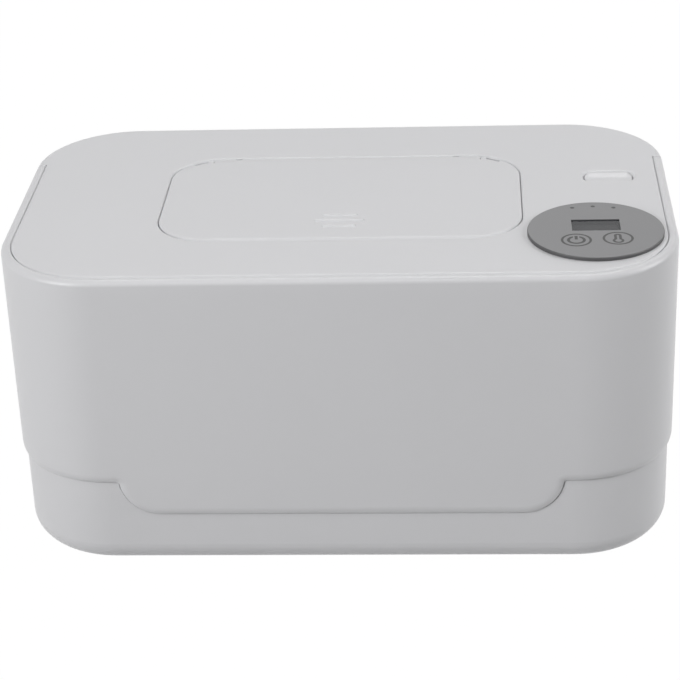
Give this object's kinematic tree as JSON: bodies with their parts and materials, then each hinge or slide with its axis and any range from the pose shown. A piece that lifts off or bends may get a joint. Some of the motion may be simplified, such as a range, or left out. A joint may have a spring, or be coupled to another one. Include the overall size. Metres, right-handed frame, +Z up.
{
  "type": "baby wipe warmer",
  "caption": "Heated box for wet wipes with a hinged main lid, a flip lid over the dispensing slot, a round control panel and a release button.",
  "frame": {"origin": "middle of the footprint, on the surface that the feet stand on", "axes": "+X to the right and +Y to the back as seen from the front, +Z up"},
  "size_m": [0.24, 0.143, 0.1174],
  "materials": {
    "white_shell": "fine satin moulded plastic",
    "tub_plastic": "smooth moulded plastic",
    "spreader": "mill finish sheet",
    "heater_film": "amber film",
    "foam": "closed-cell foam",
    "steel": "plain steel",
    "dark_plastic": "dark moulded plastic",
    "board": "solder mask",
    "lead_sleeve": "silicone sleeve",
    "soft_grey": "soft silicone",
    "grey_plastic": "acetal moulding",
    "panel_grey": "satin printed cover",
    "display_lens": "smoked lens",
    "clear_guide": "clear acrylic"
  },
  "bodies": {
    "root": {"outer_shell": "white_shell", "base_shell": "white_shell", "wipe_tub": "tub_plastic", "heat_plate": "spreader", "heating_film": "heater_film", "insulation_pad": "foam", "insulation_band": "foam", "thermal_fuse": "steel", "temperature_sensor": "dark_plastic", "power_board": "board", "dc_jack": "dark_plastic", "heater_leads": "lead_sleeve", "rubber_feet": "soft_grey", "base_screws": "steel", "lid_hinge_pins": "steel", "latch_striker": "steel"},
    "main_lid": {"lid_panel": "white_shell", "lid_liner": "tub_plastic", "lid_gasket": "soft_grey", "dispenser_insert": "soft_grey", "flip_catch": "grey_plastic", "flip_hinge_pins": "steel", "control_cover": "panel_grey", "display_window": "display_lens", "display_module": "dark_plastic", "control_board": "board", "touch_springs": "steel", "light_guides": "clear_guide", "lid_screws": "steel", "release_spring": "steel"},
    "flip": {"flip_lid": "white_shell", "flip_seal": "soft_grey"},
    "button": {"release_button": "white_shell"},
    "latch": {"latch_bolt": "grey_plastic"}
  },
  "joints": [
    {"name": "lid_hinge", "type": "hinge", "parent": "root", "child": "main_lid", "pos_m": [0, 0.067, 0.1123], "axis": [-1, 0, 0], "range_deg": [0, 95]},
    {"name": "flip_hinge", "type": "hinge", "parent": "main_lid", "child": "flip", "pos_m": [0, 0.0362, 0.1148], "axis": [-1, 0, 0], "range_deg": [0, 100]},
    {"name": "button_press", "type": "slide", "parent": "main_lid", "child": "button", "axis": [0, 0, -1], "range_m": [0, 0.002], "stiffness_N_per_m": 400, "springref_m": -0.001, "deforming": ["release_spring"]},
    {"name": "bolt_slide", "type": "slide", "parent": "main_lid", "child": "latch", "axis": [-1, 0, 0], "range_m": [0, 0.002]}
  ],
  "couplings": [
    {"joint": "bolt_slide", "follows": "button_press", "ratio": 1}
  ]
}
